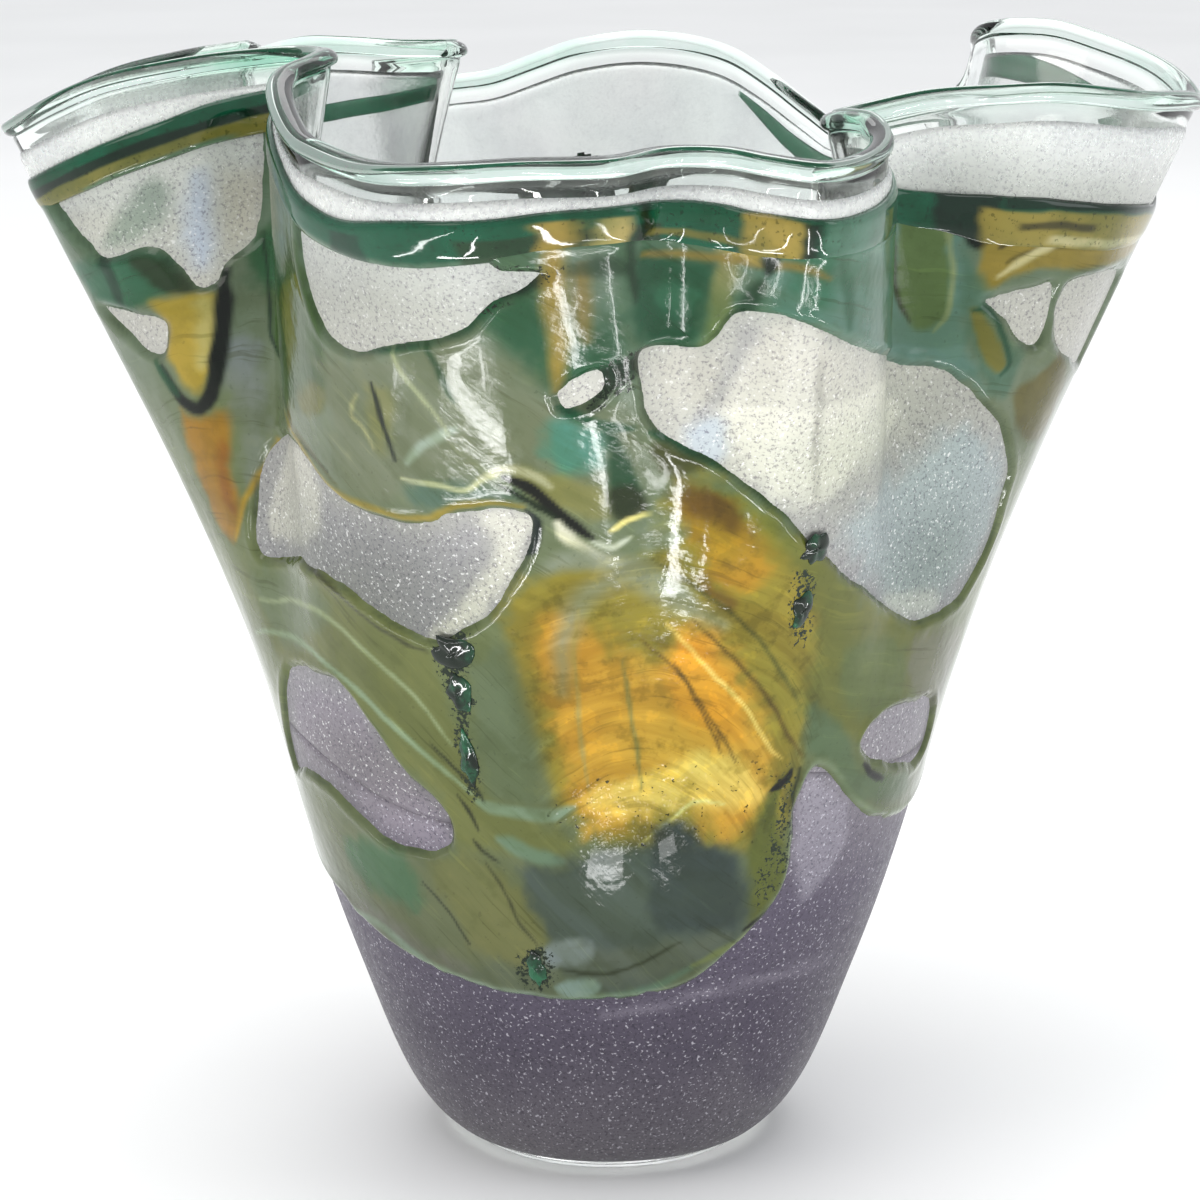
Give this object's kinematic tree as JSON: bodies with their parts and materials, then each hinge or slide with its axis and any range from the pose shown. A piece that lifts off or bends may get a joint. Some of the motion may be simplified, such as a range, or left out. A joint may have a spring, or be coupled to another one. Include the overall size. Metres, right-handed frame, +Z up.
{
  "type": "ruffled blown glass vase",
  "caption": "Tall flared blown glass vase with a folded handkerchief rim, violet frit base and swirled green and amber overlays, standing on a flat foot.",
  "frame": {"origin": "centre of the flat ground foot, on the surface the vase stands on", "axes": "+Z up along the vase; -Y is the front, with the amber patch; +X is to the right of someone who looks at the front"},
  "size_m": [0.2829, 0.2508, 0.2676],
  "materials": {
    "clear_glass": "clear, fire polished",
    "violet_frit_glass": "satin, finely speckled",
    "pearl_frit_glass": "satin, finely speckled",
    "amber_glass": "glossy, streaked",
    "slate_glass": "glossy",
    "olive_glass": "glossy, streaked",
    "sage_glass": "glossy",
    "teal_glass": "glossy",
    "gold_glass": "glossy",
    "emerald_glass": "glossy",
    "collar_green_glass": "glossy"
  },
  "bodies": {
    "root": {"vase_body": "clear_glass", "violet_frit_casing": "violet_frit_glass", "pearl_frit_casing": "pearl_frit_glass", "amber_swirl": "amber_glass", "slate_swirl": "slate_glass", "left_olive_swirl": "olive_glass", "right_olive_swirl": "olive_glass", "right_strap_swirl": "olive_glass", "sage_swirl": "sage_glass", "teal_shoulder_swirl": "teal_glass", "left_gold_swirl": "gold_glass", "back_olive_swirl": "olive_glass", "back_green_swirl": "teal_glass", "emerald_chips": "emerald_glass", "collar_trail": "collar_green_glass", "lip_wrap": "clear_glass", "lip_thread": "collar_green_glass"}
  },
  "joints": []
}
